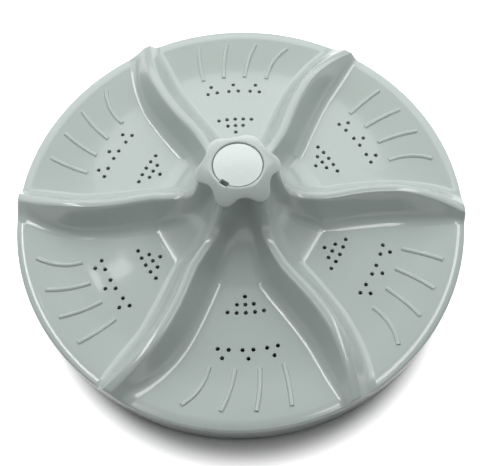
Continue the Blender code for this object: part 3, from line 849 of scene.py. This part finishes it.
def uprightPlate(shape, outline, bearing):
    # outline of (radius, height), as a plate on one radius
    turn = Matrix.Rotation(math.radians(-bearing), 4, "Z")
    half = ribs["thickness"] / 2
    sides = []
    for offset in (-half, half):
        sides.append([shape.verts.new(turn @ Vector((radius, offset, height)) * mm)
                      for radius, height in outline])
    shape.faces.new(sides[0])
    shape.faces.new(reversed(sides[1]))
    count = len(outline)
    for index in range(count):
        after = (index + 1) % count
        shape.faces.new((sides[0][index], sides[1][index], sides[1][after], sides[0][after]))


ribTop = panelTop - disc["wall"] + ribs["reach"]
ribShape = bmesh.new()
low, high = panelTop - ribs["bladeDepth"], ribTop - ribs["bladeGap"]
start, end = ribs["ringRadius"] - ribs["bladeStart"], disc["rimRadius"] - disc["wall"] + ribs["bite"]
blade = [(start, low), (end, low), (end, high + disc["dishRise"])]
blade += [(radius, high + dishHeight(radius))
          for radius in spread(panelOuter, disc["dishStart"] - disc["dishBlend"], ribs["pointsAlong"][0])]
blade.append((start, high))
for bearing in ribs["bladeBearings"]:
    uprightPlate(ribShape, blade, bearing)
webBearing = sectorAngle / 2 + (vane["trailingFoot"][0] - vane["leadingFoot"][0]) / 2
webTop = []
for t in spread(1.0, column["underStart"], ribs["pointsAlong"][1]):
    loop = columnLoop(t, disc["wall"] / 2)
    middle = loop["points"][loop["flank"] + loop["between"] // 2]
    webTop.append((math.hypot(middle.x, middle.y), middle.z))
low, inCore = panelTop - ribs["webDepth"], hub["core"] - ribs["bite"]
web = [(ribs["ringRadius"], low), (ribs["ringRadius"], ribTop)] + webTop
web += [(inCore, webTop[-1][1]), (inCore, low)]
uprightPlate(ribShape, web, webBearing)
bmesh.ops.recalc_face_normals(ribShape, faces=ribShape.faces)
undersideRibs = meshObject("undersideRibs", ribShape)
rounding = undersideRibs.modifiers.new("edges", "BEVEL")
rounding.width = ribs["edgeRound"] * mm
rounding.segments = 2
rounding.limit_method = "ANGLE"
rounding.angle_limit = math.radians(ribs["roundFrom"])
addTree(undersideRibs, sectorTurn, {"Count": disc["sectors"], "Material": palePlastic})
undersideRibs = makePlain(undersideRibs)
ringLow, ringHigh = panelTop - ribs["ringDepth"], ribTop
ringIn, ringOut = ribs["ringRadius"] - ribs["thickness"] / 2, ribs["ringRadius"] + ribs["thickness"] / 2
soft = ribs["edgeRound"]
inCorner = 0.3 * soft         # where a rounded corner's middle point lies
ringRib = lathe("ringRib", [
    (ringIn, ringHigh), (ringIn, ringLow + soft), (ringIn + inCorner, ringLow + inCorner),
    (ringIn + soft, ringLow), (ringOut - soft, ringLow), (ringOut - inCorner, ringLow + inCorner),
    (ringOut, ringLow + soft), (ringOut, ringHigh), (ringIn, ringHigh),
], ribs["ringSteps"])
ringRib.data.materials.append(palePlastic)
for item in (undersideRibs, ringRib):
    turnOutwards(item, ribs["sharpFrom"])
print("underside ribbed:", len(undersideRibs.data.polygons) + len(ringRib.data.polygons), "faces")

# Centre cap

cap = {
    "clearance": 0.7,
    "seatClearance": 0.3,
    "plugClearance": 0.3,
    "thickness": 3.1,
    "crown": 1.5,
    "edge": 0.4,
    "softEdge": 0.2,          # under the rim
    "plugLength": 6.0,
    "plugWall": 1.6,
    "plugEdge": (0.4, 0.3),   # broken edges at its tip, outside and inside
    "notchBearing": 125.4,
    "notchWidth": 6.0,
    "notchDepth": 1.8,
    "notchRound": 0.5,
    "notchPocket": 9.0,       # how far the seat is pocketed under the notch
    "steps": 128,
    "domeSteps": 22,
    "edgeSteps": 6,
    "sharpFrom": 35,
}

capUnder = columnTop - hub["capSeatDepth"] + cap["seatClearance"]
capRim = capUnder + cap["thickness"] - cap["crown"]
capRadius, plugRadius = hub["capWell"] - cap["clearance"], hub["screwWell"] - cap["plugClearance"]
domeRadius = capRadius - cap["edge"]
dome = [(domeRadius * share, capRim + cap["crown"] * (1 - share**2))
        for share in spread(0.0, 1.0, cap["domeSteps"])]
dome[-1] = (domeRadius, capRim)
edge = roundedCorner((domeRadius, capRim), (capRadius, capRim - cap["edge"]), False, cap["edgeSteps"])[1:]
inner = plugRadius - cap["plugWall"]
tip = capUnder - cap["plugLength"]
outerEdge, innerEdge = cap["plugEdge"]
centreCap = lathe("centreCap", dome + edge + [
    (capRadius, capUnder + cap["softEdge"]), (capRadius - cap["softEdge"], capUnder), (plugRadius, capUnder),
    (plugRadius, tip + outerEdge), (plugRadius - outerEdge, tip), (inner + innerEdge, tip),
    (inner, tip + innerEdge), (inner, capUnder), (0.0, capUnder),
], cap["steps"])
notchShape = bmesh.new()
notchPlace = Matrix.Rotation(math.radians(-cap["notchBearing"]), 4, "Z") @ Matrix.Translation(
    (capRadius * mm, 0.0, (capUnder + cap["thickness"]) * mm))
notchSize = Matrix.Diagonal((2 * cap["notchDepth"] * mm, cap["notchWidth"] * mm,
                             2 * (cap["thickness"] + cap["notchPocket"]) * mm, 1.0))
bmesh.ops.create_cube(notchShape, size=1.0, matrix=notchPlace @ notchSize)
upright = [edge for edge in notchShape.edges
           if abs(edge.verts[0].co.z - edge.verts[1].co.z) > cap["thickness"] * mm]
bmesh.ops.bevel(notchShape, geom=upright, offset=cap["notchRound"] * mm, segments=4,
                affect="EDGES", profile=0.5)
notch = meshObject("notch", notchShape)
notch.data.materials.append(palePlastic)
centreCap = cutAway(centreCap, notch)
body = cutAway(body, notch)            # the pocket that keeps the notch dark
body.data.set_sharp_from_angle(angle=math.radians(bodySharp))
bpy.data.objects.remove(notch, do_unlink=True)
centreCap.data.materials.clear()
centreCap.data.materials.append(capPlastic)
centreCap.data.set_sharp_from_angle(angle=math.radians(cap["sharpFrom"]))
print("cap turned:", len(centreCap.data.polygons), "faces")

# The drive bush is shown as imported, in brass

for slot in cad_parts["drive_bush"].material_slots:
    slot.material = brass
print("bush finished")

for piece, slotName in (
    (body, "pale_plastic"), (beadRibs, "pale_plastic"), (undersideRibs, "pale_plastic"),
    (ringRib, "pale_plastic"), (centreCap, "cap_plastic"),
):
    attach(piece, "root")
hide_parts("pulsator_body")
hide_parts("centre_cap")

# Camera

view = {
    "place": (-0.00054, -0.25871, 0.51625),   # solved from the water holes' centres
    "forward": (0.01215, 0.43305, -0.90129),
    "right": (0.99842, -0.05476, -0.01286),
    "lens": 54.9,
    "sensor": 36.0,
}

forward = Vector(view["forward"]).normalized()
right = Vector(view["right"])
right = (right - forward * right.dot(forward)).normalized()
up = right.cross(forward)
cameraData = bpy.data.cameras.new("camera")
cameraData.lens = view["lens"]
cameraData.sensor_width = view["sensor"]
camera = bpy.data.objects.new("camera", cameraData)
camera.matrix_world = Matrix.Translation(view["place"]) @ Matrix((right, up, -forward)).transposed().to_4x4()
bpy.context.scene.collection.objects.link(camera)
bpy.context.scene.camera = camera

# Floor and lamps

studio = {
    # the floor turns up far away, so no horizon shows: radius and height in millimetres
    "sweep": ((0.0, -0.1), (9000.0, -0.1), (10600.0, 300.0), (11600.0, 1100.0), (12000.0, 2800.0)),
    # the glow's hole is set 39 mm toward the camera, so shade shows only in front: painted shade, partly real
    # shadow and partly grey floor left without glow
    "paintedShadeCentre": (0.0, -0.039, 0.0),
    "glowStart": 0.128,       # painted white glow begins this far out and is full at glowEnd; beyond this reach it covers the floor's real shadow, so the shadow's outline is painted shade
    "glowEnd": 0.1525,
    "shaded": (0.150, 0.160),     # no glow nearer the shaft, so the holes stay dark
    "floorColour": (0.68, 0.68, 0.68, 1.0),
    "world": 0.04,            # strength of the light from all round
    "lamps": (                # name, place, aimed at, width, height, watts
        ("backSoftbox", (0.0, 0.88, 0.79), (0.0, 0.10, 0.0), 3.0, 0.74, 12.7),
        ("leftStrip", (-0.47, 0.14, 0.80), (0.0, 0.34, 0.02), 0.72, 0.12, 2.6),
        ("rightStrip", (0.41, 0.11, 0.80), (0.045, 0.316, 0.02), 0.80, 0.18, 2.8),
        ("leftSpark", (-0.224, 0.30, 0.80), (0.0, 0.0, 0.02), 0.04, 0.03, 0.028),
        ("rightSpark", (0.27, 0.37, 0.80), (0.0, 0.0, 0.02), 0.04, 0.03, 0.012),
    ),
}

floor = lathe("floor", studio["sweep"], 64)
floorMaterial = bpy.data.materials.new("whiteSweep")
floorMaterial.use_nodes = True
nodes, links = floorMaterial.node_tree.nodes, floorMaterial.node_tree.links
nodes.remove(nodes["Principled BSDF"])
matt = nodes.new("ShaderNodeBsdfDiffuse")
matt.inputs["Color"].default_value = studio["floorColour"]
place = nodes.new("ShaderNodeTexCoord")
away = nodes.new("ShaderNodeVectorMath")
away.operation = "DISTANCE"
away.inputs[1].default_value = studio["paintedShadeCentre"]
# painted shade: the glow whitens the floor over its real shadow everywhere except a disc round this centre,
# and that disc gives the shadow its outline
fade = nodes.new("ShaderNodeMapRange")
fade.interpolation_type = "SMOOTHSTEP"
fade.inputs["From Min"].default_value = studio["glowStart"]
fade.inputs["From Max"].default_value = studio["glowEnd"]
outside = nodes.new("ShaderNodeVectorMath")
outside.operation = "LENGTH"
cover = nodes.new("ShaderNodeMapRange")
cover.inputs["From Min"].default_value, cover.inputs["From Max"].default_value = studio["shaded"]
uncovered = nodes.new("ShaderNodeMath")
uncovered.operation = "MULTIPLY"
# seen straight, in a reflection or through glass, the floor is white, and it lights nothing
rays = nodes.new("ShaderNodeLightPath")
seen = nodes.new("ShaderNodeMath")
seen.operation = "ADD"
seenAll = nodes.new("ShaderNodeMath")
seenAll.operation = "ADD"
seenAll.use_clamp = True
glowLevel = nodes.new("ShaderNodeMath")
glowLevel.operation = "MULTIPLY"
glow = nodes.new("ShaderNodeEmission")
together = nodes.new("ShaderNodeAddShader")
links.new(rays.outputs["Is Camera Ray"], seen.inputs[0])
links.new(rays.outputs["Is Glossy Ray"], seen.inputs[1])
links.new(seen.outputs[0], seenAll.inputs[0])
links.new(rays.outputs["Is Transmission Ray"], seenAll.inputs[1])
links.new(seenAll.outputs[0], glowLevel.inputs[0])
links.new(place.outputs["Object"], away.inputs[0])
links.new(away.outputs["Value"], fade.inputs["Value"])
links.new(place.outputs["Object"], outside.inputs[0])
links.new(outside.outputs["Value"], cover.inputs["Value"])
links.new(fade.outputs["Result"], uncovered.inputs[0])
links.new(cover.outputs["Result"], uncovered.inputs[1])
links.new(uncovered.outputs[0], glowLevel.inputs[1])
links.new(glowLevel.outputs[0], glow.inputs["Strength"])
links.new(matt.outputs["BSDF"], together.inputs[0])
links.new(glow.outputs["Emission"], together.inputs[1])
links.new(together.outputs["Shader"], nodes["Material Output"].inputs["Surface"])
floor.data.materials.append(floorMaterial)

world = bpy.data.worlds.new("room")
bpy.context.scene.world = world
world.use_nodes = True
surround = world.node_tree.nodes["Background"]
surround.inputs["Color"].default_value = (1.0, 1.0, 1.0, 1.0)
surround.inputs["Strength"].default_value = studio["world"]

for name, place, target, width, height, watts in studio["lamps"]:
    lampData = bpy.data.lights.new(name, "AREA")
    lampData.shape = "RECTANGLE"
    lampData.size, lampData.size_y = width, height
    lampData.energy = watts
    lamp = bpy.data.objects.new(name, lampData)
    lamp.matrix_world = Matrix.Translation(place) @ (
        Vector(target) - Vector(place)).to_track_quat("-Z", "Y").to_matrix().to_4x4()
    bpy.context.scene.collection.objects.link(lamp)

bpy.context.scene.view_settings.view_transform = "Standard"
print("stage set")
